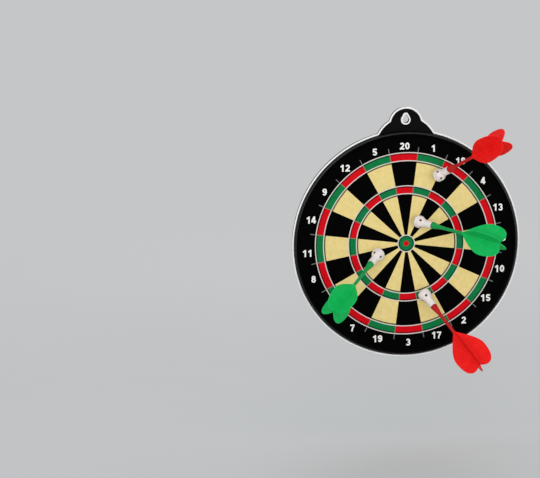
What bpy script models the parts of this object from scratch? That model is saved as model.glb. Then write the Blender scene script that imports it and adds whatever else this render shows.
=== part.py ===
"""A round magnetic dartboard that hangs from a keyhole tab, with four magnet darts on its face.

Units are metres, +Z is up and the board faces -Y. The wall is the plane y = 0, and the origin is
the nail that the narrow end of the keyhole hangs on. Driving dimensions are in millimetres.
"""
import math

import bmesh
import bpy
from mathutils import Matrix

MM = 0.001

# Clearance that every seated or touching pair of pieces keeps
FIT = 0.3

# Board sandwich, from the wall to the player
BOARD_RADIUS = 125.0
REAR_LIP_THICK = 1.6
BALL_FACE_THICK = 1.5
CORE_THICK = 3.0
STEEL_THICK = 0.4
FACE_THICK = 0.4
FRONT_LIP_THICK = 1.6

# Moulded frames
FLANGE_THICK = 5.5
FLANGE_EDGE_ROUND = 0.6
TRIM_DIAMETER = 2.0
TRIM_OVERHANG = 0.8
FRONT_WALL = 2.2
FRONT_EDGE_ROUND = 2.0
FRONT_LIP_OVERLAP = 1.5
FRONT_LIP_SLOPE = 1.2
FRONT_LIP_RUN = 2.4
SPIGOT_WALL = 1.5
REAR_LIP_OVERLAP = 5.0

# Hanging tab: two circles that rise over the board's edge, joined to it by small hollow fillets
SHOULDER_RADIUS = 35.0
SHOULDER_RISE = 15.0
DOME_RADIUS = 18.6
DOME_RISE = 24.6
TAB_FILLET = 1.5

# Keyhole: a nail's shank hangs in the narrow upper end, and its head passes the wide lower end
NAIL_RISE = 15.1
SHANK_RADIUS = 1.5
NAIL_HEAD_RADIUS = 3.75
KEYHOLE_DROP = 4.85
EYELET_WALL = 1.5
EYELET_PROUD = 0.7

# Magnet dart, measured along its axis from the nose
DART_LENGTH = 112.0
HOLDER_LENGTH = 21.0
BULB_RADIUS = 6.8
BULB_ROUND = 2.6
BULB_EQUATOR = 5.5
BULB_NECK = 12.5
COLLAR_RADIUS = 4.0
COLLAR_EDGE_ROUND = 0.4
VENT_RADIUS = 1.3
VENT_STATION = 8.3
MAGNET_RADIUS = 3.6
MAGNET_THICK = 3.5
MAGNET_LEDGE = 0.5
SPIGOT_RADIUS = 2.4
SPIGOT_LENGTH = 7.0
SHAFT_ROOT_RADIUS = 3.8
SHAFT_WAIST = 34.0
SHAFT_WAIST_RADIUS = 1.9
SHAFT_TIP_RADIUS = 1.7
FLIGHT_LENGTH = 52.0
FLIGHT_SPAN = 38.0
FLIGHT_NOTCH = 4.5
VANE_THICK = 1.1
VANE_FRONT_HALF = 1.2
CORE_END_RADIUS = 1.0

# Flight outline, as shares of its half span and of its length
VANE_WIDEST = 0.60
VANE_LOBE = 0.46
VANE_FRONT_SWELL = 0.40
VANE_REAR_SWELL = 0.87
VANE_LEAD = (0.40, 0.16)
LOBE_SWELL = (0.80, 0.24)

# Where each dart stuck: nose right of and above the board's centre as shares of the board's radius,
# then lean above the face, heading of its tail counterclockwise from the right, and roll, in degrees
DARTS = (
    ("green_dart_1", "green", 0.082, 0.202, 44.2, -9.8, 60.5),
    ("green_dart_2", "green", -0.238, -0.063, 42.1, -142.6, 70.5),
    ("red_dart_1", "red", 0.262, 0.586, 46.4, 42.0, 24.5),
    ("red_dart_2", "red", 0.136, -0.424, 37.9, -54.1, -6.5),
)

# Facets
BOARD_SIDES = 84
DART_SIDES = 20
SHAFT_SIDES = 12
VENT_SIDES = 12
CIRCLE_STEP = math.radians(360.0 / BOARD_SIDES)
TAB_STEP = math.radians(9.0)
SMALL_STEP = math.radians(24.0)
VANE_RESOLUTION = 6
NECK_STEPS = 6
WELD = 0.000001
SHARP_ANGLE = math.radians(35.0)

# Colours, roughness and metallic value of each material
LOOKS = {
    "black_plastic": ((0.010, 0.010, 0.011), 0.42, 0.0),
    "silver_trim": ((0.62, 0.62, 0.63), 0.30, 0.9),
    "printed_face": ((0.020, 0.020, 0.020), 0.45, 0.0),
    "tinplate": ((0.55, 0.56, 0.57), 0.35, 1.0),
    "grey_board": ((0.36, 0.31, 0.25), 0.85, 0.0),
    "loop_fabric": ((0.30, 0.42, 0.10), 0.95, 0.0),
    "green": ((0.010, 0.410, 0.090), 0.38, 0.0),
    "red": ((0.860, 0.015, 0.012), 0.38, 0.0),
    "white_plastic": ((0.80, 0.78, 0.74), 0.40, 0.0),
    "magnet": ((0.10, 0.10, 0.11), 0.45, 0.8),
}

# Levels of the sandwich, as heights above the wall
ball_level = REAR_LIP_THICK + FIT
core_level = ball_level + BALL_FACE_THICK + FIT
steel_level = core_level + CORE_THICK + FIT
face_level = steel_level + STEEL_THICK + FIT
face_top = face_level + FACE_THICK
front_lip_level = face_top + FIT
board_depth = front_lip_level + FRONT_LIP_THICK
spigot_top = front_lip_level - FIT

# Radii of the frames and of the layers they hold
front_outer = BOARD_RADIUS - TRIM_DIAMETER - FIT
front_inner = front_outer - FRONT_WALL
spigot_outer = front_inner - FIT
pocket_radius = spigot_outer - SPIGOT_WALL
layer_radius = pocket_radius - FIT
rear_opening = layer_radius - REAR_LIP_OVERLAP
front_opening = layer_radius - FRONT_LIP_OVERLAP

# Heights of the tab's features above the board's centre
shoulder_height = BOARD_RADIUS + SHOULDER_RISE - SHOULDER_RADIUS
dome_height = BOARD_RADIUS + DOME_RISE - DOME_RADIUS
nail_height = BOARD_RADIUS + NAIL_RISE

# Stations along a dart
magnet_seat = MAGNET_THICK + FIT
shaft_start = HOLDER_LENGTH + FIT
flight_start = DART_LENGTH - FLIGHT_LENGTH
socket_radius = SPIGOT_RADIUS + FIT


def clear_scene():
    for obj in list(bpy.data.objects):
        bpy.data.objects.remove(obj, do_unlink=True)


def make_materials():
    materials = {}
    for name, (colour, roughness, metallic) in LOOKS.items():
        made = bpy.data.materials.new(name)
        made.use_nodes = True
        shader = made.node_tree.nodes["Principled BSDF"]
        shader.inputs["Base Color"].default_value = (*colour, 1.0)
        shader.inputs["Roughness"].default_value = roughness
        shader.inputs["Metallic"].default_value = metallic
        materials[name] = made
    return materials


def arc(centre, radius, start, end, step):
    """Points on a circle from one angle to another, both ends included."""
    count = max(2, math.ceil(abs(end - start) / step))
    angles = [start + (end - start) * i / count for i in range(count + 1)]
    return [(centre[0] + radius * math.cos(a), centre[1] + radius * math.sin(a)) for a in angles]


def chain(*stretches):
    """One run of points from stretches that start where the last one ended."""
    points = list(stretches[0])
    for stretch in stretches[1:]:
        points.extend(stretch[1:])
    return points


def hollow_fillet(low_height, low_radius, high_height, high_radius):
    """Fillet outside two circles on the tab's centre line: its centre and its two contact angles."""
    rise = high_height - low_height
    low_reach = low_radius + TAB_FILLET
    high_reach = high_radius + TAB_FILLET
    up = (low_reach ** 2 - high_reach ** 2 + rise ** 2) / (2.0 * rise)
    across = math.sqrt(low_reach ** 2 - up ** 2)
    centre = (across, low_height + up)
    return centre, math.atan2(up, across), math.atan2(up - rise, across)


def board_outline(inset):
    """Outline of board and tab, drawn in by an inset, counterclockwise from the lowest point."""
    foot, foot_start, foot_end = hollow_fillet(0.0, BOARD_RADIUS, shoulder_height, SHOULDER_RADIUS)
    notch, notch_start, notch_end = hollow_fillet(shoulder_height, SHOULDER_RADIUS, dome_height, DOME_RADIUS)
    turn = math.pi
    right = chain(
        arc((0.0, 0.0), BOARD_RADIUS - inset, -turn / 2.0, foot_start, CIRCLE_STEP),
        arc(foot, TAB_FILLET + inset, foot_start + turn, foot_end + turn, SMALL_STEP),
        arc((0.0, shoulder_height), SHOULDER_RADIUS - inset, foot_end, notch_start, TAB_STEP),
        arc(notch, TAB_FILLET + inset, notch_start + turn, notch_end + turn, SMALL_STEP),
        arc((0.0, dome_height), DOME_RADIUS - inset, notch_end, turn / 2.0, TAB_STEP),
    )
    left = [(-x, y) for x, y in reversed(right[1:-1])]
    return right + left


def keyhole_outline(offset):
    """Teardrop round the nail's two places, grown by an offset, counterclockwise."""
    tilt = math.asin((NAIL_HEAD_RADIUS - SHANK_RADIUS) / KEYHOLE_DROP)
    wide = (0.0, nail_height - KEYHOLE_DROP)
    narrow = (0.0, nail_height)
    below = arc(wide, NAIL_HEAD_RADIUS + offset, math.pi - tilt, 2.0 * math.pi + tilt, SMALL_STEP)
    above = arc(narrow, SHANK_RADIUS + offset, tilt, math.pi - tilt, SMALL_STEP)
    return below + above


def circle_outline(radius):
    return arc((0.0, 0.0), radius, 0.0, 2.0 * math.pi, CIRCLE_STEP)[:-1]


def add_object(name, data, group):
    obj = bpy.data.objects.new(name, data)
    group.objects.link(obj)
    return obj


def bake(obj, group):
    """The object as a welded mesh with its modifiers applied, in place of the original."""
    bpy.context.view_layer.update()
    evaluated = obj.evaluated_get(bpy.context.evaluated_depsgraph_get())
    mesh = bpy.data.meshes.new_from_object(evaluated)
    shape = bmesh.new()
    shape.from_mesh(mesh)
    bmesh.ops.remove_doubles(shape, verts=shape.verts, dist=WELD)
    bmesh.ops.dissolve_degenerate(shape, edges=shape.edges, dist=WELD)
    bmesh.ops.recalc_face_normals(shape, faces=shape.faces)
    shape.to_mesh(mesh)
    shape.free()
    name = obj.name
    place = obj.matrix_world.copy()
    bpy.data.objects.remove(obj, do_unlink=True)
    mesh.name = name
    baked = add_object(name, mesh, group)
    baked.matrix_world = place
    return baked


def turned(name, profile, sides, group):
    """Solid of revolution about Z from (radius, height) points, run down the outer side."""
    mesh = bpy.data.meshes.new(name)
    points = [(radius * MM, 0.0, height * MM) for radius, height in profile]
    edges = [(i, i + 1) for i in range(len(points) - 1)]
    if profile[0][0] > 0.0:
        edges.append((len(points) - 1, 0))
    mesh.from_pydata(points, edges, [])
    obj = add_object(name, mesh, group)
    screw = obj.modifiers.new("turn", "SCREW")
    screw.axis = "Z"
    screw.angle = 2.0 * math.pi
    screw.steps = sides
    screw.render_steps = sides
    screw.use_merge_vertices = True
    screw.merge_threshold = WELD
    return bake(obj, group)


def plate(name, outlines, low, high, group, edge_round=0.0):
    """Flat plate between two heights: the first outline is its edge, the others are holes in it."""
    curve = bpy.data.curves.new(name, "CURVE")
    curve.dimensions = "2D"
    curve.fill_mode = "BOTH"
    curve.extrude = ((high - low) / 2.0 - edge_round) * MM
    curve.bevel_depth = edge_round * MM
    curve.offset = -edge_round * MM
    curve.bevel_resolution = 1
    for index, outline in enumerate(outlines):
        points = outline if index == 0 else list(reversed(outline))
        spline = curve.splines.new("POLY")
        spline.points.add(len(points) - 1)
        for point, (x, y) in zip(spline.points, points):
            point.co = (x * MM, y * MM, 0.0, 1.0)
        spline.use_cyclic_u = True
    obj = add_object(name, curve, group)
    obj.location.z = (low + high) / 2.0 * MM
    return bake(obj, group)


def combine(target, tool, operation, group):
    """The target joined with, or cut by, a tool that is used up."""
    step = target.modifiers.new(operation.lower(), "BOOLEAN")
    step.operation = operation
    step.object = tool
    result = bake(target, group)
    bpy.data.objects.remove(tool, do_unlink=True)
    return result


def disc(name, radius, low, high, sides, group):
    return turned(name, [(0.0, high), (radius, high), (radius, low), (0.0, low)], sides, group)


def make_rear_frame(group):
    """Flange with the hanging tab, a rear lip behind the ball face and a spigot for the front frame."""
    edge = board_outline(TRIM_OVERHANG)
    outlines = (edge, circle_outline(rear_opening), keyhole_outline(EYELET_WALL + FIT))
    frame = plate("rear_frame", outlines, 0.0, FLANGE_THICK, group, FLANGE_EDGE_ROUND)
    root = FLANGE_THICK / 2.0
    tube = [(spigot_outer, spigot_top), (spigot_outer, root), (rear_opening + FIT, root),
            (rear_opening + FIT, spigot_top)]
    frame = combine(frame, turned("spigot", tube, BOARD_SIDES, group), "UNION", group)
    pocket = disc("pocket", pocket_radius, REAR_LIP_THICK, board_depth, BOARD_SIDES, group)
    return combine(frame, pocket, "DIFFERENCE", group)


def make_front_frame(group):
    """Ring that stands on the flange outside the spigot, with a sloped lip over the face's edge."""
    rounded = arc((front_outer - FRONT_EDGE_ROUND, board_depth - FRONT_EDGE_ROUND), FRONT_EDGE_ROUND,
                  math.pi / 2.0, 0.0, SMALL_STEP)
    lip_nose = board_depth - FRONT_LIP_SLOPE
    crest = front_opening + FRONT_LIP_RUN
    foot = FLANGE_THICK + FIT
    profile = [(front_opening, lip_nose), (crest, board_depth)] + rounded
    profile += [(front_outer, foot), (front_inner, foot), (front_inner, front_lip_level),
                (front_opening, front_lip_level)]
    return turned("front_frame", profile, BOARD_SIDES, group)


def make_edge_trim(group):
    """Round bead along the outline of board and tab, on the flange's front and a little over its edge."""
    bead = TRIM_DIAMETER / 2.0
    curve = bpy.data.curves.new("edge_trim", "CURVE")
    curve.dimensions = "3D"
    curve.bevel_depth = bead * MM
    curve.bevel_resolution = 1
    points = board_outline(bead)
    spline = curve.splines.new("POLY")
    spline.points.add(len(points) - 1)
    for point, (x, y) in zip(spline.points, points):
        point.co = (x * MM, y * MM, 0.0, 1.0)
    spline.use_cyclic_u = True
    obj = add_object("edge_trim", curve, group)
    obj.location.z = (FLANGE_THICK + FIT + bead) * MM
    return bake(obj, group)


def make_eyelet(group):
    """Teardrop eyelet through the tab, a little proud of it on the player's side."""
    outlines = (keyhole_outline(EYELET_WALL), keyhole_outline(0.0))
    return plate("keyhole_eyelet", outlines, 0.0, FLANGE_THICK + EYELET_PROUD, group)


def make_holder(group):
    """Bulb-shaped magnet holder: magnet pocket in the nose, four vents, socket in the collar."""
    neck = []
    for i in range(NECK_STEPS + 1):
        share = i / NECK_STEPS
        swell = 0.5 * (1.0 + math.cos(math.pi * share))
        radius = COLLAR_RADIUS + (BULB_RADIUS - COLLAR_RADIUS) * swell
        neck.append((radius, BULB_EQUATOR + (BULB_NECK - BULB_EQUATOR) * share))
    nose = arc((BULB_RADIUS - BULB_ROUND, BULB_ROUND), BULB_ROUND, 0.0, -math.pi / 2.0, SMALL_STEP)
    pocket_wall = MAGNET_RADIUS + FIT
    ledge = MAGNET_RADIUS - MAGNET_LEDGE
    profile = [(socket_radius, HOLDER_LENGTH), (COLLAR_RADIUS - COLLAR_EDGE_ROUND, HOLDER_LENGTH),
               (COLLAR_RADIUS, HOLDER_LENGTH - COLLAR_EDGE_ROUND)]
    profile += list(reversed(neck)) + nose
    profile += [(pocket_wall, 0.0), (pocket_wall, magnet_seat), (ledge, magnet_seat),
                (socket_radius, BULB_NECK)]
    holder = turned("holder", profile, DART_SIDES, group)
    for turn in (0.0, math.pi / 2.0):
        vent = disc("vent", VENT_RADIUS, -2.0 * BULB_RADIUS, 2.0 * BULB_RADIUS, VENT_SIDES, group)
        vent.location.z = VENT_STATION * MM
        vent.rotation_euler = (math.pi / 2.0, 0.0, turn)
        holder = combine(holder, vent, "DIFFERENCE", group)
    return holder


def make_vane_pair(name, turn, group):
    """Two opposite vanes as one thin plate: pointed front, round shoulders and a notched tail."""
    half = FLIGHT_SPAN / 2.0
    tail = flight_start + FLIGHT_LENGTH
    stations = (
        ((VANE_FRONT_HALF, 0.0), (VANE_FRONT_HALF, 0.0), (VANE_LEAD[0] * half, VANE_LEAD[1])),
        ((half, VANE_WIDEST), (half, VANE_FRONT_SWELL), (half, VANE_REAR_SWELL)),
        ((VANE_LOBE * half, 1.0), (LOBE_SWELL[0] * half, 1.0), (LOBE_SWELL[1] * half, 1.0)),
        ((0.0, 1.0 - FLIGHT_NOTCH / FLIGHT_LENGTH),) * 3,
    )
    right = [[(x, tail - FLIGHT_LENGTH * (1.0 - s)) for x, s in station] for station in stations]
    left = [[(-x, y) for x, y in (point, after, before)] for point, before, after in reversed(right[:-1])]
    curve = bpy.data.curves.new(name, "CURVE")
    curve.dimensions = "2D"
    curve.fill_mode = "BOTH"
    curve.extrude = VANE_THICK / 2.0 * MM
    curve.resolution_u = VANE_RESOLUTION
    spline = curve.splines.new("BEZIER")
    spline.bezier_points.add(len(right + left) - 1)
    for knot, (point, before, after) in zip(spline.bezier_points, right + left):
        knot.handle_left_type = "FREE"
        knot.handle_right_type = "FREE"
        knot.co = (point[0] * MM, point[1] * MM, 0.0)
        knot.handle_left = (before[0] * MM, before[1] * MM, 0.0)
        knot.handle_right = (after[0] * MM, after[1] * MM, 0.0)
    spline.use_cyclic_u = True
    obj = add_object(name, curve, group)
    obj.rotation_euler = (math.pi / 2.0, 0.0, turn)
    return bake(obj, group)


def make_flight(group):
    """Shaft with a flared root, a spigot at its front and four vanes round its tail, one moulding."""
    core_end = DART_LENGTH - FLIGHT_NOTCH - CORE_END_RADIUS
    spigot_end = HOLDER_LENGTH - SPIGOT_LENGTH
    profile = [(0.0, core_end), (CORE_END_RADIUS, core_end), (SHAFT_TIP_RADIUS, flight_start),
               (SHAFT_WAIST_RADIUS, SHAFT_WAIST), (SHAFT_ROOT_RADIUS, shaft_start),
               (SPIGOT_RADIUS, shaft_start), (SPIGOT_RADIUS, spigot_end), (0.0, spigot_end)]
    flight = turned("flight", profile, SHAFT_SIDES, group)
    for index, turn in enumerate((0.0, math.pi / 2.0)):
        vanes = make_vane_pair("vanes_%d" % index, turn, group)
        flight = combine(flight, vanes, "UNION", group)
    return flight


def make_magnet(group):
    return disc("magnet", MAGNET_RADIUS, 0.0, MAGNET_THICK, DART_SIDES, group)


def add_empty(name, location, rotation, parent, group):
    empty = add_object(name, None, group)
    empty.location = [value * MM for value in location]
    empty.rotation_euler = rotation
    empty.parent = parent
    return empty


def finish_piece(obj, material, parent):
    """Gives a piece its material, its place on its parent and smooth shading with crisp edges."""
    obj.data.materials.clear()
    obj.data.materials.append(material)
    obj.data.shade_smooth()
    obj.data.set_sharp_from_angle(angle=SHARP_ANGLE)
    obj.parent = parent


def build_board(group, materials):
    upright = (math.pi / 2.0, 0.0, 0.0)
    axis = add_empty("board_axis", (0.0, 0.0, -nail_height), upright, None, group)
    pieces = (
        (make_rear_frame(group), "black_plastic"),
        (make_front_frame(group), "black_plastic"),
        (make_edge_trim(group), "silver_trim"),
        (make_eyelet(group), "silver_trim"),
        (disc("ball_face", layer_radius, ball_level, ball_level + BALL_FACE_THICK, BOARD_SIDES, group),
         "loop_fabric"),
        (disc("core_board", layer_radius, core_level, core_level + CORE_THICK, BOARD_SIDES, group),
         "grey_board"),
        (disc("steel_sheet", layer_radius, steel_level, steel_level + STEEL_THICK, BOARD_SIDES, group),
         "tinplate"),
        (disc("face_sheet", layer_radius, face_level, face_top, BOARD_SIDES, group), "printed_face"),
    )
    for obj, look in pieces:
        finish_piece(obj, materials[look], axis)
    return axis


def build_darts(group, materials, board_axis):
    """Four darts, each tipped over on the rounded rim of its holder, which rests on the face."""
    patterns = {"flight": make_flight(group), "holder": make_holder(group), "magnet": make_magnet(group)}
    for name, colour, across, up, lean_deg, heading_deg, roll_deg in DARTS:
        lean = math.radians(lean_deg)
        rim = BULB_ROUND * (1.0 - math.sin(lean)) + (BULB_RADIUS - BULB_ROUND) * math.cos(lean)
        heading = Matrix.Rotation(math.radians(heading_deg), 3, "Z")
        tip_over = Matrix.Rotation(math.pi / 2.0 - lean, 3, "Y")
        roll = Matrix.Rotation(math.radians(roll_deg), 3, "Z")
        rotation = (heading @ tip_over @ roll).to_euler()
        place = (across * BOARD_RADIUS, up * BOARD_RADIUS, face_top + FIT + rim)
        nose = add_empty(name, place, rotation, board_axis, group)
        looks = {"flight": colour, "holder": "white_plastic", "magnet": "magnet"}
        for piece, pattern in patterns.items():
            copy = add_object(name + "_" + piece, pattern.data.copy(), group)
            copy.matrix_local = pattern.matrix_world
            finish_piece(copy, materials[looks[piece]], nose)
    for pattern in patterns.values():
        bpy.data.objects.remove(pattern, do_unlink=True)


def main():
    clear_scene()
    group = bpy.data.collections.new("magnetic_dartboard")
    bpy.context.scene.collection.children.link(group)
    materials = make_materials()
    board_axis = build_board(group, materials)
    build_darts(group, materials, board_axis)


main()
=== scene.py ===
"""Looks of a magnetic dartboard: print, moulded frames, bright trim, fabric back and four magnet darts.

Lengths are in millimetres and angles in degrees until a mesh is made. On the board, x is right, y is up
and z points from the wall to the player. On a dart, z runs from the nose to the tail.
"""
import math

import bmesh
import bpy
from mathutils import Matrix, Vector


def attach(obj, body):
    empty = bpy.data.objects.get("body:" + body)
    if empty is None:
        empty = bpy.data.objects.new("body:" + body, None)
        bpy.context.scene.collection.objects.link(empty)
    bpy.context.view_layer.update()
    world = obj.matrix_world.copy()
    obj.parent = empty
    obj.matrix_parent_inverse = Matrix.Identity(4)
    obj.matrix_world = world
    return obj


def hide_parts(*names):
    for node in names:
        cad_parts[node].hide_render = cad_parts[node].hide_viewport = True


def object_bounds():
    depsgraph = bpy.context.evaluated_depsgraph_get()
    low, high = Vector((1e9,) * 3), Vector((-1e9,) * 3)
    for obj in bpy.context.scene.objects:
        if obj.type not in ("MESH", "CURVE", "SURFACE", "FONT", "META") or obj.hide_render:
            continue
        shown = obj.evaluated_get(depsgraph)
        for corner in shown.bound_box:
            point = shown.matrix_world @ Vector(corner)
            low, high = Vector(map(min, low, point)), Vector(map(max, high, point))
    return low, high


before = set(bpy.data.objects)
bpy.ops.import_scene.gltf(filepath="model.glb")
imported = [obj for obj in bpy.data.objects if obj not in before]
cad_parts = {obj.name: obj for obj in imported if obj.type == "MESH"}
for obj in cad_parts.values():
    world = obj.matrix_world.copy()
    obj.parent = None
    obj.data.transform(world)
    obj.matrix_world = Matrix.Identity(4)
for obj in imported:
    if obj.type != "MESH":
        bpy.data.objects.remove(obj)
cad_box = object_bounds()
scene = bpy.context.scene
MM = 0.001
WELD = 0.000001

# Board, as in the part's source
FIT = 0.3
BOARD_RADIUS = 125.0
NAIL_HEIGHT = 140.1
FLANGE_THICK = 5.5
FLANGE_ROUND = 0.6
TRIM_RADIUS, TRIM_OVERHANG = 1.0, 0.8
REAR_LIP_THICK = 1.6
REAR_OPENING = 113.4
POCKET_RADIUS = 118.7
SPIGOT_RADIUS = 120.2
SPIGOT_TOP = 8.1
LAYER_RADIUS = 118.4
FABRIC_LOW, FABRIC_HIGH = 1.9, 3.4
FACE_LOW, FACE_TOP = 7.7, 8.1
FRONT_OPENING, FRONT_INNER, FRONT_OUTER = 116.9, 120.5, 122.7
FRONT_LIP, FRONT_NOSE, FRONT_TOP = 8.4, 8.8, 10.0
FRONT_ROUND, FRONT_RUN = 2.0, 2.4
# Front ring: run and rise of its slanted nose, then run before, drop before and run after its crest
NOSE_RUN, NOSE_RISE = 0.2, 0.16
CREST_BEFORE, CREST_DROP, CREST_AFTER = 0.4, 0.12, 0.2
SHOULDER_RADIUS, SHOULDER_HEIGHT = 35.0, 105.0
DOME_RADIUS, DOME_HEIGHT = 18.6, 131.0
TAB_FILLET = 1.5
SHANK_RADIUS, NAIL_HEAD_RADIUS, KEYHOLE_DROP = 1.5, 3.75, 4.85
EYELET_WALL, EYELET_TOP, EYELET_ROUND = 1.5, 6.2, 0.3
# A face whose normal rises less than this is a wall of the bore
WALL_RISE = 0.3
# Sides of the turned shapes
FRAME_SIDES, FACE_SIDES, FABRIC_SIDES = 180, 240, 180

# Print on the face
# Numbers clockwise from the top, with how far right of and above its even place each is printed
NUMBERS = (
    (20, 1.4, -0.8), (1, -0.5, 0.0), (18, -1.3, -0.3), (4, -0.8, 0.5), (13, -0.7, 0.4),
    (6, -0.6, -0.2), (10, -0.6, -0.8), (15, -1.5, -2.1), (2, -2.4, -1.4), (17, -2.8, -0.7),
    (3, -0.9, -1.2), (19, -1.3, -0.5), (7, 1.7, -2.0), (16, 0.2, -1.3), (8, -0.1, 0.4),
    (11, -0.6, -4.2), (14, -0.8, -1.1), (9, -0.4, -1.5), (12, -1.3, -0.6), (5, 1.8, -0.2),
)
PRINT_TURN = 1.6
SECTOR = 18.0
DOUBLE_RING = (90.9, 99.8)
TRIPLE_RING = (54.8, 63.4)
BULL_RADIUS, BULL_CENTRE = 9.1, 2.9
WIRE_WIDTH, SPOKE_WIDTH, SHADE_WIDTH = 1.0, 0.8, 1.5
TICK_SPAN, TICK_WIDTH = (100.7, 106.0), 0.8
NUMBER_RADIUS, NUMBER_TALL = 107.9, 7.7
# Heights of the inks, and the rise from one stroke of a figure to the next
INK_LOW, INK_HIGH, INK_TOP = FACE_TOP + 0.07, FACE_TOP + 0.14, FACE_TOP + 0.16
INK_STEP = 0.004
# Step along the printed rings, and chamfer of the sheet's edge
PRINT_STEP = 1.5
FACE_EDGE = 0.15

# Figures: stroke and pitch as shares of their height, and the step along a bow
STROKE, PITCH = 0.21, 0.75
BOW_STEP = 12.0

# Target on the back: outer radius, look and number of each ring
BACK_RINGS = ((13.0, "felt_red", "100"), (35.0, "felt_yellow", "80"), (58.0, "felt_white", "60"),
              (83.0, "felt_green", "40"), (LAYER_RADIUS, "felt_blue", "20"))
# Its numbers: height, share of that for the middle one, directions they stand in, and rise of their ink
BACK_TALL, BACK_CENTRE_SHARE = 12.0, 0.75
BACK_TURNS = (90.0, 210.0, 330.0)
BACK_INK = 0.12
# Its fabric: step of the mesh, rounding of the edge, and the faint ripple across it
FABRIC_STEP, FABRIC_EDGE = 4.0, 0.3
RIPPLE_DEPTH, RIPPLE_RATE = 0.05, 0.9

# Darts, as in the part's source: name, colour, nose right of and above the board's middle as shares of
# its radius, angle of the axis to the face, direction it leans in, and turn about the axis
DARTS = (
    ("green_dart_1", "green", 0.082, 0.202, 44.2, -9.8, 60.5),
    ("green_dart_2", "green", -0.238, -0.063, 42.1, -142.6, 70.5),
    ("red_dart_1", "red", 0.262, 0.586, 46.4, 42.0, 24.5),
    ("red_dart_2", "red", 0.136, -0.424, 37.9, -54.1, -6.5),
)
HOLDER_LENGTH = 21.0
BULB_RADIUS, BULB_ROUND, BULB_EQUATOR, BULB_NECK = 6.8, 2.6, 5.5, 12.5
COLLAR_RADIUS, COLLAR_ROUND = 4.0, 0.4
POCKET, LEDGE, MAGNET_SEAT, SOCKET = 3.9, 3.1, 3.8, 2.7
VENT_RADIUS, VENT_STATION = 1.3, 8.3
MAGNET_RADIUS, MAGNET_THICK, MAGNET_EDGE = 3.6, 3.5, 0.35
SPIGOT_SHAFT, SPIGOT_END = 2.4, 14.0
SHAFT_START, SHAFT_ROOT, SHAFT_EDGE = 21.3, 3.8, 0.4
SHAFT_WAIST, WAIST_RADIUS, SHAFT_TIP = 34.0, 1.9, 1.7
FLIGHT_START, FLIGHT_LENGTH, FLIGHT_HALF, FLIGHT_NOTCH = 60.0, 52.0, 19.0, 4.5
CORE_END, CORE_END_RADIUS = 106.5, 1.0
RIM_HALF, WEB_HALF, RIM_WIDTH, RIM_ROUND, RIM_SLOPE = 0.55, 0.34, 1.3, 0.5, 0.5
# Vane: reach from the axis at its front and at its notch, and thickening and reach of its root
VANE_FRONT, VANE_FOOT = 1.2, 0.3
ROOT_EXTRA, ROOT_REACH = 0.6, 3.4
# Mesh of a vane in from its free edge: rows on the rim, count of rows on the web, gap to the axis, and the
# width under which the rows are squeezed together
RIM_ROWS, WEB_ROWS = (0.0, 0.05, 0.18, 0.5, 1.3, 1.55, 1.8), 5
ROOT_ROW, FULL_VANE = 1.6, 6.0
VANE_WELD = 0.00001
# Sides of the turned shapes, and steps along the neck of the holder
SHAFT_SIDES, HOLDER_SIDES, MAGNET_SIDES = 40, 64, 48
NECK_STEPS = 24

# Camera: the board's face centre in the image, its scale there, and the direction it is seen from
IMAGE = (540.0, 478.0)
CENTRE_AT = (406.2, 243.45)
MM_PER_PIXEL = 1.0822
AZIMUTH, ELEVATION = -10.6, 10.8
LENS, SENSOR = 400.0, 36.0

# Drop in metres from the lowest dart to the floor, which clears a dart pulled off downwards, and the
# distances over which the floor fades out
FLOOR_DROP = 0.085
FADE = (0.5, 1.6)

# Surroundings: their colour, and their strength as they light the object and as they are seen
SKY_COLOUR = (0.93, 0.94, 0.95, 1.0)
SKY_LIGHT, SKY_SEEN = 0.82, 0.6

# Lamps: place and size in metres and power in watts. All of them face the middle of the board.
LAMPS = (
    ("key", (-0.9, -2.5, 0.6), 1.6, 19.0),
    ("fill", (1.1, -2.5, -0.3), 1.8, 14.0),
    ("rear", (0.6, 2.2, 1.4), 1.6, 15.0),
)
LAMP_AIM = (0.0, 0.0, -0.14)

# Range of the noise that tints a surface, and the share and upper end of its streaks
CLOUD_LOW, CLOUD_HIGH = 0.3, 0.7
STREAK_SHARE, STREAK_HIGH = 0.35, 0.9

# Finishes: range of roughness, blotches and grain per metre, depth of the grain in mm, shader sockets
PLASTIC = {"rough": (0.34, 0.46), "blotch": 120.0, "grain": 2600.0, "depth": 0.02}
BLACK_BACK = {**PLASTIC, "Specular_IOR_Level": 0.05}
BLACK_FRONT = {**PLASTIC, "Specular_IOR_Level": 0.015}
BLACK_EDGE = {**PLASTIC, "rough": (0.24, 0.32), "depth": 0.01, "Specular_IOR_Level": 0.36}
SILVER = {"rough": (0.24, 0.36), "blotch": 160.0, "grain": 3000.0, "depth": 0.008, "Metallic": 0.15}
INK = {"rough": (0.42, 0.52), "blotch": 220.0, "grain": 2200.0, "depth": 0.01, "Specular_IOR_Level": 0.04}
DEEP_INK = {**INK, "blotch": 150.0, "Specular_IOR_Level": 0.015}
BED_INK = {**INK, "blotch": 200.0, "streaks": 240.0}
TIN = {"rough": (0.28, 0.42), "blotch": 90.0, "grain": 1800.0, "depth": 0.01, "own": False, "Metallic": 1.0}
CORE = {"rough": (0.82, 0.92), "blotch": 300.0, "grain": 1500.0, "depth": 0.08, "own": False}
FELT = {"rough": (0.88, 0.98), "blotch": 260.0, "grain": 1100.0, "depth": 0.30, "relief": "LOOPS"}
MOULDED = {"rough": (0.30, 0.42), "blotch": 130.0, "grain": 2400.0, "depth": 0.01,
           "Subsurface_Weight": 0.12, "Subsurface_Scale": 0.001, "Specular_IOR_Level": 0.12}
VANE = {"rough": (0.32, 0.44), "blotch": 130.0, "grain": 220.0, "depth": 0.05, "relief": "RIBS",
        "Specular_IOR_Level": 0.06}
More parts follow.
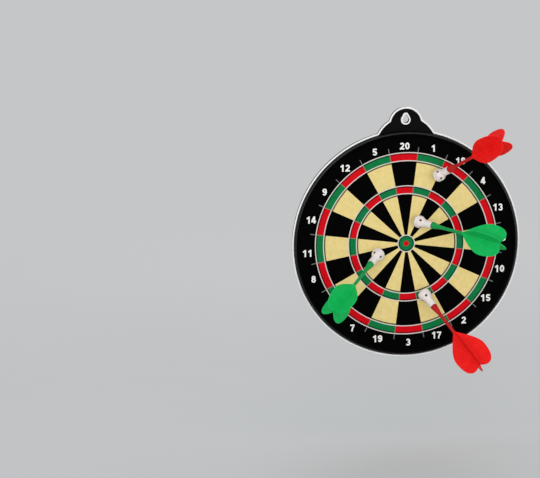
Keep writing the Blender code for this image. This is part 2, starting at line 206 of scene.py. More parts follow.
HOLDER = {**MOULDED, "blotch": 140.0, "Subsurface_Weight": 0.15, "Specular_IOR_Level": 0.3}
# Finish of the painted shade on the holder's inside faces
HOLDER_PAINTED_SHADE = {"rough": (0.50, 0.60), "blotch": 140.0, "grain": 2400.0, "depth": 0.01,
                 "Specular_IOR_Level": 0.1}
MAGNET = {"rough": (0.44, 0.60), "blotch": 700.0, "grain": 2600.0, "depth": 0.03, "Metallic": 0.5}
FLOOR = {"rough": (0.8, 0.9), "blotch": 2.0, "grain": 40.0, "depth": 0.02, "own": False}

# Looks: darkest and lightest tint as display values from 0 to 255, and finish
LOOKS = {
    "black_plastic": ((2, 2, 2), (5, 5, 5), BLACK_BACK),
    "black_front": ((1, 1, 1), (4, 4, 4), BLACK_FRONT),
    "black_edge": ((2, 2, 2), (5, 5, 5), BLACK_EDGE),
    "silver_trim": ((238, 237, 235), (250, 249, 247), SILVER),
    "ink_black": ((1, 1, 1), (3, 3, 3), DEEP_INK),
    "ink_cream": ((223, 201, 129), (235, 213, 145), INK),
    "ink_red": ((194, 4, 16), (214, 10, 26), BED_INK),
    "ink_green": ((6, 106, 53), (15, 124, 68), BED_INK),
    "ink_white": ((236, 234, 230), (248, 247, 244), INK),
    "ink_wire": ((208, 202, 196), (222, 216, 210), INK),
    "ink_line": ((126, 116, 98), (140, 130, 112), INK),
    "ink_grey": ((112, 112, 111), (130, 130, 129), INK),
    "shade_cream": ((84, 80, 48), (96, 92, 58), INK),
    "shade_red": ((112, 4, 10), (128, 8, 16), INK),
    "shade_green": ((4, 62, 30), (10, 74, 40), INK),
    "tinplate": ((178, 180, 182), (200, 202, 204), TIN),
    "core_board": ((150, 134, 110), (176, 160, 134), CORE),
    "felt_red": ((176, 30, 34), (204, 48, 48), FELT),
    "felt_yellow": ((232, 182, 20), (250, 208, 40), FELT),
    "felt_white": ((222, 222, 216), (240, 240, 236), FELT),
    "felt_green": ((84, 152, 48), (112, 182, 66), FELT),
    "felt_blue": ((92, 180, 204), (122, 204, 222), FELT),
    "felt_ink": ((20, 40, 72), (30, 54, 90), FELT),
    "green": ((20, 142, 70), (32, 156, 82), MOULDED),
    "green_vane": ((18, 180, 87), (28, 192, 99), VANE),
    "red": ((172, 26, 28), (194, 38, 38), MOULDED),
    "red_vane": ((232, 25, 23), (244, 37, 34), VANE),
    "white_plastic": ((228, 218, 214), (241, 233, 229), HOLDER),
    # Painted shade: the white holder's inside faces are coloured dark grey so its vents read dark
    "holder_painted_shade": ((124, 114, 117), (146, 136, 139), HOLDER_PAINTED_SHADE),
    "magnet": ((52, 52, 55), (74, 74, 77), MAGNET),
}
FLOOR_TINTS = ((193, 194, 195), (197, 198, 199))

BOARD = Matrix.Translation((0.0, 0.0, -NAIL_HEIGHT * MM)) @ Matrix.Rotation(math.pi / 2.0, 4, "X")


def rgb(red, green, blue):
    """Linear colour from 0 to 255 display values."""
    return tuple(v / 12.92 if v <= 0.04045 else ((v + 0.055) / 1.055) ** 2.4
                 for v in (red / 255.0, green / 255.0, blue / 255.0))


def look(name, dark, light, rough, blotch, grain, depth, relief="NOISE", streaks=0.0, own=True, **sockets):
    """Material with a tint and roughness that wander between two values, and a fine relief in mm.

    A piece made here carries its own coordinates in the attribute "local". A piece of the frame does not.
    In the name of a shader socket, an underscore stands for a space.
    """
    made = bpy.data.materials.new(name)
    made.use_nodes = True
    nodes = made.node_tree.nodes
    links = made.node_tree.links
    shader = nodes["Principled BSDF"]
    place = nodes.new("ShaderNodeTexCoord").outputs["Object"]
    if own:
        local = nodes.new("ShaderNodeAttribute")
        local.attribute_name = "local"
        place = local.outputs["Vector"]
    cloud = nodes.new("ShaderNodeTexNoise")
    cloud.inputs["Scale"].default_value = blotch
    cloud.inputs["Detail"].default_value = 5.0
    cloud.inputs["Roughness"].default_value = 0.6
    links.new(place, cloud.inputs["Vector"])
    wander = cloud.outputs["Fac"]
    if streaks:
        rings = nodes.new("ShaderNodeTexWave")
        rings.wave_type = "RINGS"
        rings.rings_direction = "Z"
        rings.inputs["Scale"].default_value = streaks
        rings.inputs["Distortion"].default_value = 9.0
        rings.inputs["Detail"].default_value = 3.0
        rings.inputs["Detail Scale"].default_value = 2.0
        links.new(place, rings.inputs["Vector"])
        both = nodes.new("ShaderNodeMath")
        both.operation = "MULTIPLY_ADD"
        both.inputs[1].default_value = STREAK_SHARE
        links.new(rings.outputs["Fac"], both.inputs[0])
        links.new(wander, both.inputs[2])
        wander = both.outputs[0]
    tint = nodes.new("ShaderNodeValToRGB")
    tint.color_ramp.elements[0].position = CLOUD_LOW
    tint.color_ramp.elements[1].position = STREAK_HIGH if streaks else CLOUD_HIGH
    tint.color_ramp.elements[0].color = (*rgb(*dark), 1.0)
    tint.color_ramp.elements[1].color = (*rgb(*light), 1.0)
    links.new(wander, tint.inputs["Fac"])
    links.new(tint.outputs["Color"], shader.inputs["Base Color"])
    gloss = nodes.new("ShaderNodeMapRange")
    gloss.inputs["From Min"].default_value = CLOUD_LOW
    gloss.inputs["From Max"].default_value = CLOUD_HIGH
    gloss.inputs["To Min"].default_value = rough[0]
    gloss.inputs["To Max"].default_value = rough[1]
    links.new(cloud.outputs["Fac"], gloss.inputs["Value"])
    links.new(gloss.outputs["Result"], shader.inputs["Roughness"])
    if relief == "LOOPS":
        fine = nodes.new("ShaderNodeTexVoronoi")
        fine.inputs["Scale"].default_value = grain
        height = fine.outputs["Distance"]
    elif relief == "RIBS":
        fine = nodes.new("ShaderNodeTexWave")
        fine.bands_direction = "Z"
        fine.inputs["Scale"].default_value = grain
        height = fine.outputs["Fac"]
    else:
        fine = nodes.new("ShaderNodeTexNoise")
        fine.inputs["Scale"].default_value = grain
        fine.inputs["Detail"].default_value = 3.0
        height = fine.outputs["Fac"]
    links.new(place, fine.inputs["Vector"])
    bump = nodes.new("ShaderNodeBump")
    bump.invert = relief == "LOOPS"
    bump.inputs["Distance"].default_value = depth * MM
    links.new(height, bump.inputs["Height"])
    links.new(bump.outputs["Normal"], shader.inputs["Normal"])
    for socket, value in sockets.items():
        shader.inputs[socket.replace("_", " ")].default_value = value
    return made


looks = {name: look(name, dark, light, **finish) for name, (dark, light, finish) in LOOKS.items()}


def arc(centre, radius, start, end, step):
    """Points on a circle between two angles in radians, both ends included."""
    count = max(2, math.ceil(abs(end - start) / math.radians(step)))
    angles = [start + (end - start) * i / count for i in range(count + 1)]
    return [(centre[0] + radius * math.cos(a), centre[1] + radius * math.sin(a)) for a in angles]


def hollow_fillet(low_height, low_radius, high_height, high_radius):
    """Fillet outside two circles on the tab's centre line: its centre and its two contact angles."""
    rise = high_height - low_height
    low_reach = low_radius + TAB_FILLET
    high_reach = high_radius + TAB_FILLET
    up = (low_reach ** 2 - high_reach ** 2 + rise ** 2) / (2.0 * rise)
    across = math.sqrt(low_reach ** 2 - up ** 2)
    return (across, low_height + up), math.atan2(up, across), math.atan2(up - rise, across)


def board_outline(inset):
    """Outline of board and tab, drawn in by an inset, counterclockwise from the lowest point."""
    foot, foot_start, foot_end = hollow_fillet(0.0, BOARD_RADIUS, SHOULDER_HEIGHT, SHOULDER_RADIUS)
    notch, notch_start, notch_end = hollow_fillet(SHOULDER_HEIGHT, SHOULDER_RADIUS, DOME_HEIGHT, DOME_RADIUS)
    turn = math.pi
    right = arc((0.0, 0.0), BOARD_RADIUS - inset, -turn / 2.0, foot_start, 2.0)
    right += arc(foot, TAB_FILLET + inset, foot_start + turn, foot_end + turn, 10.0)[1:]
    right += arc((0.0, SHOULDER_HEIGHT), SHOULDER_RADIUS - inset, foot_end, notch_start, 4.0)[1:]
    right += arc(notch, TAB_FILLET + inset, notch_start + turn, notch_end + turn, 10.0)[1:]
    right += arc((0.0, DOME_HEIGHT), DOME_RADIUS - inset, notch_end, turn / 2.0, 4.0)[1:]
    return right + [(-x, y) for x, y in reversed(right[1:-1])]


def keyhole_outline(offset):
    """Teardrop round the nail's two places, grown by an offset, counterclockwise."""
    tilt = math.asin((NAIL_HEAD_RADIUS - SHANK_RADIUS) / KEYHOLE_DROP)
    wide = (0.0, NAIL_HEIGHT - KEYHOLE_DROP)
    below = arc(wide, NAIL_HEAD_RADIUS + offset, math.pi - tilt, 2.0 * math.pi + tilt, 8.0)
    return below + arc((0.0, NAIL_HEIGHT), SHANK_RADIUS + offset, tilt, math.pi - tilt, 8.0)


def circle_outline(radius):
    """Circle round the board's middle, counterclockwise."""
    return arc((0.0, 0.0), radius, 0.0, 2.0 * math.pi, 2.0)[:-1]


def link(name, data):
    """New object in the scene."""
    obj = bpy.data.objects.new(name, data)
    scene.collection.objects.link(obj)
    return obj


def baked(obj):
    """Welded mesh of an object with its modifiers applied. The object is used up."""
    bpy.context.view_layer.update()
    shown = obj.evaluated_get(bpy.context.evaluated_depsgraph_get())
    mesh = bpy.data.meshes.new_from_object(shown)
    mesh.transform(obj.matrix_world)
    bpy.data.objects.remove(obj, do_unlink=True)
    shape = bmesh.new()
    shape.from_mesh(mesh)
    bmesh.ops.remove_doubles(shape, verts=shape.verts, dist=WELD)
    bmesh.ops.recalc_face_normals(shape, faces=shape.faces)
    shape.to_mesh(mesh)
    shape.free()
    return mesh


def plate(outlines, low, high, edge_round):
    """Flat plate with rounded edges: the first outline is its edge, the others are holes in it."""
    curve = bpy.data.curves.new("plate", "CURVE")
    curve.dimensions = "2D"
    curve.fill_mode = "BOTH"
    curve.extrude = ((high - low) / 2.0 - edge_round) * MM
    curve.bevel_depth = edge_round * MM
    curve.offset = -edge_round * MM
    curve.bevel_resolution = 3
    for index, outline in enumerate(outlines):
        add_spline(curve, outline if index == 0 else list(reversed(outline)))
    obj = link("plate", curve)
    obj.location.z = (low + high) / 2.0 * MM
    return baked(obj)


def add_spline(curve, points):
    """Closed line through points, added to a curve."""
    spline = curve.splines.new("POLY")
    spline.points.add(len(points) - 1)
    for point, (x, y) in zip(spline.points, points):
        point.co = (x * MM, y * MM, 0.0, 1.0)
    spline.use_cyclic_u = True


def lathe(profile, sides, closed=False):
    """Mesh turned about Z from (radius, height) points."""
    verts, faces, rings = [], [], []
    for radius, height in profile:
        count = 1 if radius < WELD else sides
        rings.append(range(len(verts), len(verts) + count))
        for k in range(count):
            angle = 2.0 * math.pi * k / sides
            verts.append((radius * math.cos(angle) * MM, radius * math.sin(angle) * MM, height * MM))
    pairs = list(zip(rings, rings[1:]))
    if closed:
        pairs.append((rings[-1], rings[0]))
    for low, high in pairs:
        for k in range(sides):
            after = (k + 1) % sides
            corners = (low[k % len(low)], low[after % len(low)], high[after % len(high)], high[k % len(high)])
            faces.append(tuple(dict.fromkeys(corners)))
    mesh = bpy.data.meshes.new("lathe")
    mesh.from_pydata(verts, [], faces)
    shape = bmesh.new()
    shape.from_mesh(mesh)
    bmesh.ops.recalc_face_normals(shape, faces=shape.faces)
    shape.to_mesh(mesh)
    shape.free()
    return mesh


def combined(mesh, tool, operation):
    """Mesh joined with, or cut by, a tool mesh."""
    target = link("target", mesh)
    other = link("tool", tool)
    step = target.modifiers.new("step", "BOOLEAN")
    step.operation = operation
    step.object = other
    result = baked(target)
    bpy.data.objects.remove(other, do_unlink=True)
    return result


def joined(meshes):
    """One mesh from several, with the material places of each kept in order."""
    whole = bmesh.new()
    for mesh in meshes:
        whole.from_mesh(mesh)
    result = bpy.data.meshes.new("joined")
    whole.to_mesh(result)
    whole.free()
    return result


def inked(mesh, place, picks=lambda polygon: True):
    """The same mesh with the faces that a test picks in one material place."""
    for polygon in mesh.polygons:
        if picks(polygon):
            polygon.material_index = place
    return mesh


def add_piece(name, mesh, materials, body, slot, place, stands_for=None, sharp=35.0):
    """A piece of the object, shaded smooth with crisp edges, on its body. The argument slot is not used."""
    mesh.name = name
    for material in materials:
        mesh.materials.append(looks[material])
    local = mesh.attributes.new("local", "FLOAT_VECTOR", "POINT")
    local.data.foreach_set("vector", [value for vertex in mesh.vertices for value in vertex.co])
    mesh.transform(place)
    mesh.shade_smooth()
    mesh.set_sharp_from_angle(angle=math.radians(sharp))
    obj = link(name, mesh)
    flats = obj.modifiers.new("flats", "WEIGHTED_NORMAL")
    flats.keep_sharp = True
    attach(obj, body)
    if stands_for:
        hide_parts(stands_for)
    return obj


def make_frames():
    """Rear frame with the tab, front ring, bead round the outline and eyelet in the keyhole."""
    holes = (circle_outline(REAR_OPENING), keyhole_outline(EYELET_WALL + FIT))
    rear = plate((board_outline(TRIM_OVERHANG), *holes), 0.0, FLANGE_THICK, FLANGE_ROUND)
    root = FLANGE_THICK / 2.0
    tube = [(SPIGOT_RADIUS, SPIGOT_TOP), (SPIGOT_RADIUS, root), (REAR_OPENING + FIT, root),
            (REAR_OPENING + FIT, SPIGOT_TOP)]
    rear = combined(rear, lathe(tube, FRAME_SIDES, closed=True), "UNION")
    pocket = [(0.0, FRONT_TOP), (POCKET_RADIUS, FRONT_TOP), (POCKET_RADIUS, REAR_LIP_THICK),
              (0.0, REAR_LIP_THICK)]
    rear = combined(rear, lathe(pocket, FRAME_SIDES), "DIFFERENCE")
    add_piece("rear_frame_moulding", rear, ["black_plastic"], "board", "black_plastic", BOARD, "rear_frame")

    corner = (FRONT_OUTER - FRONT_ROUND, FRONT_TOP - FRONT_ROUND)
    crest = FRONT_OPENING + FRONT_RUN
    foot = FLANGE_THICK + FIT
    profile = [(FRONT_OPENING, FRONT_NOSE), (FRONT_OPENING + NOSE_RUN, FRONT_NOSE + NOSE_RISE),
               (crest - CREST_BEFORE, FRONT_TOP - CREST_DROP), (crest + CREST_AFTER, FRONT_TOP)]
    profile += arc(corner, FRONT_ROUND, math.pi / 2.0, 0.0, 10.0)
    profile += [(FRONT_OUTER, foot), (FRONT_INNER, foot), (FRONT_INNER, FRONT_LIP), (FRONT_OPENING, FRONT_LIP)]

    def on_edge(polygon):
        return polygon.center.z / MM > corner[1] and polygon.center.xy.length / MM > corner[0]

    front = inked(lathe(profile, FACE_SIDES, closed=True), 1, on_edge)
    add_piece("front_frame_moulding", front, ["black_front", "black_edge"], "board", "black_plastic", BOARD,
              "front_frame")

    curve = bpy.data.curves.new("bead", "CURVE")
    curve.dimensions = "3D"
    curve.bevel_depth = TRIM_RADIUS * MM
    curve.bevel_resolution = 4
    add_spline(curve, board_outline(TRIM_RADIUS))
    bead = link("bead", curve)
    bead.location.z = (foot + TRIM_RADIUS) * MM
    add_piece("edge_trim_bead", baked(bead), ["silver_trim"], "board", "silver_trim", BOARD, "edge_trim",
              sharp=60.0)

    def in_bore(polygon):
        across = polygon.center.copy()
        across.y -= min(NAIL_HEIGHT, max(NAIL_HEIGHT - KEYHOLE_DROP, across.y / MM)) * MM
        faces_in = across.to_2d().dot(polygon.normal.to_2d()) < 0.0
        return faces_in and abs(polygon.normal.z) < WALL_RISE

    eyelet = plate((keyhole_outline(EYELET_WALL), keyhole_outline(0.0)), 0.0, EYELET_TOP, EYELET_ROUND)
    inked(eyelet, 1, in_bore)
    add_piece("keyhole_eyelet_ring", eyelet, ["silver_trim", "black_plastic"], "board", "silver_trim", BOARD,
              "keyhole_eyelet")


def flat_mesh(cells, level):
    """Flat mesh at one height from ring sectors (inner radius, outer radius, start, end)."""
    verts, faces = [], []
    for inner, outer, start, end in cells:
        count = max(1, math.ceil((end - start) / PRINT_STEP))
        first = len(verts)
        for i in range(count + 1):
            angle = math.radians(start + (end - start) * i / count)
            for radius in (inner, outer):
                verts.append((radius * math.cos(angle) * MM, radius * math.sin(angle) * MM, level * MM))
        for k in range(first, first + 2 * count, 2):
            faces.append((k, k + 1, k + 3, k + 2))
    mesh = bpy.data.meshes.new("flat")
    mesh.from_pydata(verts, [], faces)
    return mesh


def spokes(span, width, level):
    """Flat bars of even width along every sector boundary."""
    verts, faces = [], []
    for index in range(len(NUMBERS)):
        angle = math.radians(90.0 + PRINT_TURN + SECTOR * (index + 0.5))
        along = Vector((math.cos(angle), math.sin(angle), 0.0))
        across = Vector((-along.y, along.x, 0.0)) * (width / 2.0)
        first = len(verts)
        for point in (along * span[0] - across, along * span[1] - across, along * span[1] + across,
                      along * span[0] + across):
            verts.append((point.x * MM, point.y * MM, level * MM))
        faces.append(tuple(range(first, first + 4)))
    mesh = bpy.data.meshes.new("spokes")
    mesh.from_pydata(verts, [], faces)
    return mesh


def bow(x, y, across, up, start, end):
    """Points on an ellipse between two angles."""
    count = max(2, round(abs(end - start) / BOW_STEP))
    angles = [math.radians(start + (end - start) * i / count) for i in range(count + 1)]
    return [(x + across * math.cos(a), y + up * math.sin(a)) for a in angles]


def digit_strokes(digit):
    """Centre lines of a bold figure, as shares of its height from the middle of its foot."""
    if digit == "0":
        return [bow(0.0, 0.5, 0.21, 0.3825, 0.0, 360.0)]
    if digit == "1":
        return [[(0.08, 0.0), (0.08, 1.0)], [(0.06, 0.90), (-0.06, 0.78), (-0.24, 0.70)]]
    if digit == "2":
        return [bow(0.0, 0.68, 0.21, 0.2025, 165.0, -25.0) + [(0.02, 0.37), (-0.19, 0.17)],
                [(-0.3275, 0.1175), (0.3275, 0.1175)]]
    if digit == "3":
        return [bow(-0.02, 0.70, 0.20, 0.195, 160.0, -95.0), bow(-0.005, 0.3075, 0.225, 0.2025, 95.0, -160.0)]
    if digit == "4":
        return [[(0.10, 0.0), (0.10, 1.0)], [(-0.34, 0.275), (0.33, 0.275)], [(0.06, 0.94), (-0.25, 0.34)]]
    if digit == "5":
        return [[(-0.19, 0.8825), (0.28, 0.8825)], [(-0.16, 0.95), (-0.20, 0.47)],
                bow(0.0, 0.33, 0.21, 0.2125, 135.0, -160.0)]
    if digit == "6":
        return [bow(0.0, 0.315, 0.21, 0.1975, 0.0, 360.0), bow(0.03, 0.5, 0.24, 0.3825, 190.0, 40.0)]
    if digit == "7":
        return [[(-0.31, 0.8825), (0.31, 0.8825)], [(0.22, 0.86), (0.07, 0.55), (-0.04, 0.25), (-0.07, 0.0)]]
    if digit == "8":
        return [bow(0.0, 0.70, 0.18, 0.1825, 0.0, 360.0), bow(0.0, 0.305, 0.21, 0.1875, 0.0, 360.0)]
    return [[(-x, 1.0 - y) for x, y in line] for line in digit_strokes("6")]


def figures_mesh(text, tall):
    """Flat mesh of a number, centred, with a ribbon along each stroke."""
    verts, faces = [], []
    level = 0.0
    for index, digit in enumerate(text):
        shift = (index - (len(text) - 1) / 2.0) * PITCH
        for line in digit_strokes(digit):
            first = len(verts)
            closed = math.dist(line[0], line[-1]) < WELD
            for i, (x, y) in enumerate(line):
                before = Vector(line[i - 1] if i else line[-2] if closed else line[0])
                after = Vector(line[i + 1] if i < len(line) - 1 else line[1] if closed else line[-1])
                way = (after - before).normalized() * (STROKE / 2.0)
                for side in (1.0, -1.0):
                    spot = (x + shift - side * way.y, y - 0.5 + side * way.x)
                    verts.append((spot[0] * tall * MM, spot[1] * tall * MM, level * MM))
            faces.extend((k, k + 1, k + 3, k + 2) for k in range(first, len(verts) - 2, 2))
            level += INK_STEP
    mesh = bpy.data.meshes.new("number")
    mesh.from_pydata(verts, [], faces)
    return mesh


def make_face():
    """Printed face: black sheet, cream fields, red and green beds, shaded wires, ticks and numbers."""
    on_face = ("board", "printed_face", BOARD)
    sheet = [(0.0, FACE_TOP), (LAYER_RADIUS - FACE_EDGE, FACE_TOP), (LAYER_RADIUS, FACE_TOP - FACE_EDGE),
             (LAYER_RADIUS, FACE_LOW), (0.0, FACE_LOW)]
    add_piece("face_print_base", lathe(sheet, FACE_SIDES), ["ink_black"], *on_face, "face_sheet")
    half = WIRE_WIDTH / 2.0
    cells = {"cream": [], "red": [], "green": []}
    shades = {"cream": [], "red": [], "green": []}
    for index in range(len(NUMBERS)):
        middle = 90.0 + PRINT_TURN - SECTOR * index
        start, end = middle - SECTOR / 2.0, middle + SECTOR / 2.0
        bed = "green" if index % 2 else "red"
        for inner, outer in (DOUBLE_RING, TRIPLE_RING):
            cells[bed].append((inner, outer, start, end))
            shades[bed].append((outer - half - SHADE_WIDTH, outer - half, start, end))
        if index % 2:
            cells["cream"].append((BULL_RADIUS, TRIPLE_RING[0], start, end))
            cells["cream"].append((TRIPLE_RING[1], DOUBLE_RING[0], start, end))
            for inner, _ in (DOUBLE_RING, TRIPLE_RING):
                shades["cream"].append((inner - half - SHADE_WIDTH, inner - half, start, end))
    cells["green"].append((BULL_CENTRE, BULL_RADIUS, 0.0, 360.0))
    shades["green"].append((BULL_RADIUS - half - SHADE_WIDTH, BULL_RADIUS - half, 0.0, 360.0))
    cells["red"].append((0.0, BULL_CENTRE, 0.0, 360.0))
    for ink in cells:
        add_piece("face_print_" + ink, flat_mesh(cells[ink], INK_LOW), ["ink_" + ink], *on_face)
    bands = [inked(flat_mesh(shades[ink], INK_HIGH), place) for place, ink in enumerate(shades)]
    add_piece("face_print_shade", joined(bands), ["shade_" + ink for ink in shades], *on_face)
    radii = (*DOUBLE_RING, *TRIPLE_RING, BULL_RADIUS)
    wires = [flat_mesh([(radius - half, radius + half, 0.0, 360.0) for radius in radii], INK_HIGH)]
    for ring in (DOUBLE_RING, TRIPLE_RING):
        wires.append(inked(spokes((ring[0] + half, ring[1] - half), SPOKE_WIDTH, INK_TOP), 1))
    add_piece("face_print_wires", joined(wires), ["ink_wire", "ink_line"], *on_face)
    add_piece("face_print_ticks", spokes(TICK_SPAN, TICK_WIDTH, INK_LOW), ["ink_grey"], *on_face)
    figures = []
    for index, (number, aside, above) in enumerate(NUMBERS):
        angle = math.radians(90.0 + PRINT_TURN - SECTOR * index)
        figure = figures_mesh(str(number), NUMBER_TALL)
        even = Vector((math.cos(angle), math.sin(angle), 0.0)) * NUMBER_RADIUS
        figure.transform(Matrix.Translation((even + Vector((aside, above, INK_LOW))) * MM))
        figures.append(figure)
    add_piece("face_print_numbers", joined(figures), ["ink_white"], *on_face)


def make_back():
    """Loop-fabric ball target on the back: coloured rings in one sheet, with a number on each."""
    radii = [0.0]
    for outer, _, _ in BACK_RINGS:
        inner = radii[-1]
        count = math.ceil((outer - inner) / FABRIC_STEP)
        radii += [inner + (outer - inner) * i / count for i in range(1, count + 1)]
    rear = [(radius, FABRIC_LOW + RIPPLE_DEPTH * math.sin(radius * RIPPLE_RATE)) for radius in radii]
    rear[-1] = (LAYER_RADIUS - FABRIC_EDGE, FABRIC_LOW)
    front = [(LAYER_RADIUS, FABRIC_LOW + FABRIC_EDGE), (LAYER_RADIUS, FABRIC_HIGH), (0.0, FABRIC_HIGH)]
    fabric = lathe(rear + front, FABRIC_SIDES)
    outermost = len(BACK_RINGS) - 1
    for polygon in fabric.polygons:
        radius = polygon.center.xy.length / MM
        polygon.material_index = next((i for i, ring in enumerate(BACK_RINGS) if radius < ring[0]), outermost)
    felts = [look_name for _, look_name, _ in BACK_RINGS]
    sheet = add_piece("back_fabric", fabric, felts, "board", "loop_fabric", BOARD, "ball_face")
    figures = []
    inner = 0.0
    for outer, _, number in BACK_RINGS:
        middle = (inner + min(outer, REAR_OPENING)) / 2.0 if inner else 0.0
        for turn in BACK_TURNS if inner else (0.0,):
            angle = math.radians(turn)
            figure = figures_mesh(number, BACK_TALL * (1.0 if inner else BACK_CENTRE_SHARE))
            figure.transform(Matrix.Rotation(math.pi, 4, "Y"))
            spot = Vector((math.cos(angle) * middle, math.sin(angle) * middle, FABRIC_LOW - BACK_INK))
            figure.transform(Matrix.Translation(spot * MM))
            figures.append(figure)
        inner = outer
    numbers = add_piece("back_numbers", joined(figures), ["felt_ink"], "board", "loop_fabric", BOARD)


def bezier(start, leave, arrive, end, count):
    """Points on a cubic curve between two ends, the last one left out."""
    points = []
    for i in range(count):
        t = i / count
        weights = ((1.0 - t) ** 3, 3.0 * t * (1.0 - t) ** 2, 3.0 * t * t * (1.0 - t), t ** 3)
        corners = (start, leave, arrive, end)
        points.append(tuple(sum(w * c[k] for w, c in zip(weights, corners)) for k in (0, 1)))
    return points


def vane_edge():
    """Free edge of a vane from its front to the notch in the tail, as (distance from axis, station)."""
    half = FLIGHT_HALF
    notch = (VANE_FOOT / half, 1.0 - FLIGHT_NOTCH / FLIGHT_LENGTH)
    shares = bezier((VANE_FRONT / half, 0.0), (0.40, 0.16), (1.0, 0.40), (1.0, 0.60), 22)
    shares += bezier((1.0, 0.60), (1.0, 0.87), (0.80, 1.0), (0.46, 1.0), 18)
    shares += bezier((0.46, 1.0), (0.24, 1.0), notch, notch, 12) + [notch]
    return [(x * half, FLIGHT_START + FLIGHT_LENGTH * s) for x, s in shares]


def vane_half(inward):
    """Half thickness of a vane at a distance in from its free edge: rounded rim, then thinner web."""
    if inward < RIM_ROUND:
        return RIM_HALF * math.sqrt(1.0 - (1.0 - inward / RIM_ROUND) ** 2)
    share = min(1.0, max(0.0, (inward - RIM_WIDTH) / RIM_SLOPE))
    return RIM_HALF + (WEB_HALF - RIM_HALF) * share * share * (3.0 - 2.0 * share)


def make_vanes():
    """Four vanes with a raised rim round a thin web."""
    verts, faces = [], []
    edge = vane_edge()
    base_end = FLIGHT_START + FLIGHT_LENGTH - FLIGHT_NOTCH
    rows = []
    for across, station in edge:
        tip = Vector((across, station))
        foot = Vector((0.0, min(station, base_end)))
        long = (foot - tip).length
        squeeze = min(1.0, long / FULL_VANE)
        inward = [q * squeeze for q in RIM_ROWS]
        start, end = inward[-1], long - ROOT_ROW * squeeze
        inward += [start + (end - start) * i / WEB_ROWS for i in range(1, WEB_ROWS + 1)] + [long]
        row = []
        for q in inward:
            point = tip + (foot - tip) * (q / long if long else 0.0)
            root = max(0.0, 1.0 - point.x / ROOT_REACH)
            extra = ROOT_EXTRA * root * root if q else 0.0
            row.append((point, vane_half(q / squeeze if squeeze else 0.0) + extra))
        rows.append(row)
    wide = len(rows[0])
    for turn in range(4):
        side = Matrix.Rotation(turn * math.pi / 2.0, 3, "Z")
        for sign in (1.0, -1.0):
            first = len(verts)
            for row in rows:
                for point, half in row:
                    verts.append(side @ Vector((point.x, sign * half, point.y)) * MM)
            for i in range(len(rows) - 1):
                for k in range(wide - 1):
                    a = first + i * wide + k
                    faces.append((a, a + 1, a + wide + 1, a + wide))
    mesh = bpy.data.meshes.new("vanes")
    mesh.from_pydata(verts, [], faces)
    shape = bmesh.new()
    shape.from_mesh(mesh)
    bmesh.ops.remove_doubles(shape, verts=shape.verts, dist=VANE_WELD)
    bmesh.ops.recalc_face_normals(shape, faces=shape.faces)
    shape.to_mesh(mesh)
    shape.free()
    return inked(mesh, 1)


def make_flight():
    """Shaft with a spigot in the holder and a flared root, and the vanes on its tail."""
    root = arc((SHAFT_ROOT - SHAFT_EDGE, SHAFT_START + SHAFT_EDGE), SHAFT_EDGE, -math.pi / 2.0, 0.0, 20.0)
    profile = [(0.0, SPIGOT_END), (SPIGOT_SHAFT - SHAFT_EDGE, SPIGOT_END),
               (SPIGOT_SHAFT, SPIGOT_END + SHAFT_EDGE), (SPIGOT_SHAFT, SHAFT_START)] + root
    core_stop = CORE_END - CORE_END_RADIUS
    reaches = ((SHAFT_START + SHAFT_EDGE, SHAFT_ROOT, SHAFT_WAIST, WAIST_RADIUS, 6),
               (SHAFT_WAIST, WAIST_RADIUS, FLIGHT_START, SHAFT_TIP, 8),
               (FLIGHT_START, SHAFT_TIP, core_stop, CORE_END_RADIUS, 8))
    for low, wide, high, narrow, count in reaches:
        for i in range(1, count + 1):
            profile.append((wide + (narrow - wide) * i / count, low + (high - low) * i / count))
    profile += arc((0.0, core_stop), CORE_END_RADIUS, 0.0, math.pi / 2.0, 15.0)[1:-1]
    profile.append((0.0, CORE_END))
    shaft = inked(lathe(profile, SHAFT_SIDES), 1, lambda polygon: polygon.center.z > FLIGHT_START * MM)
    return joined([shaft, make_vanes()])


def holder_radius(station):
    """Outer radius of the holder behind the widest place of its bulb."""
    share = min(1.0, max(0.0, (station - BULB_EQUATOR) / (BULB_NECK - BULB_EQUATOR)))
    return COLLAR_RADIUS + (BULB_RADIUS - COLLAR_RADIUS) * 0.5 * (1.0 + math.cos(math.pi * share))


def make_holder():
    """Bulb-shaped magnet holder with four round vents in its shoulder, with shade painted dark grey on its
    inside faces.
    """
    rise = BULB_NECK - BULB_EQUATOR
    stations = [BULB_EQUATOR + rise * i / NECK_STEPS for i in range(NECK_STEPS + 1)]
    neck = [(holder_radius(station), station) for station in stations]
    collar = arc((COLLAR_RADIUS - COLLAR_ROUND, HOLDER_LENGTH - COLLAR_ROUND), COLLAR_ROUND,
                 math.pi / 2.0, 0.0, 15.0)
    nose = arc((BULB_RADIUS - BULB_ROUND, BULB_ROUND), BULB_ROUND, 0.0, -math.pi / 2.0, 9.0)
    profile = [(SOCKET, HOLDER_LENGTH)] + collar + list(reversed(neck)) + nose
    profile += [(POCKET, 0.0), (POCKET, MAGNET_SEAT), (LEDGE, MAGNET_SEAT), (SOCKET, BULB_NECK)]
    holder = lathe(profile, HOLDER_SIDES, closed=True)
    for turn in (0.0, 90.0):
        tool = plate((arc((0.0, 0.0), VENT_RADIUS, 0.0, 2.0 * math.pi, 15.0)[:-1],),
                     -2.0 * BULB_RADIUS, 2.0 * BULB_RADIUS, 0.0)
        tool.transform(Matrix.Translation((0.0, 0.0, VENT_STATION * MM))
                       @ Matrix.Rotation(math.radians(turn), 4, "Z") @ Matrix.Rotation(math.pi / 2.0, 4, "X"))
        holder = combined(holder, tool, "DIFFERENCE")

    # Inside faces of the holder, which get the painted shade
    def inside(polygon):
        station = polygon.center.z / MM
        return station > MAGNET_SEAT - FIT and polygon.center.xy.length / MM < holder_radius(station) - FIT

    return inked(holder, 1, inside)


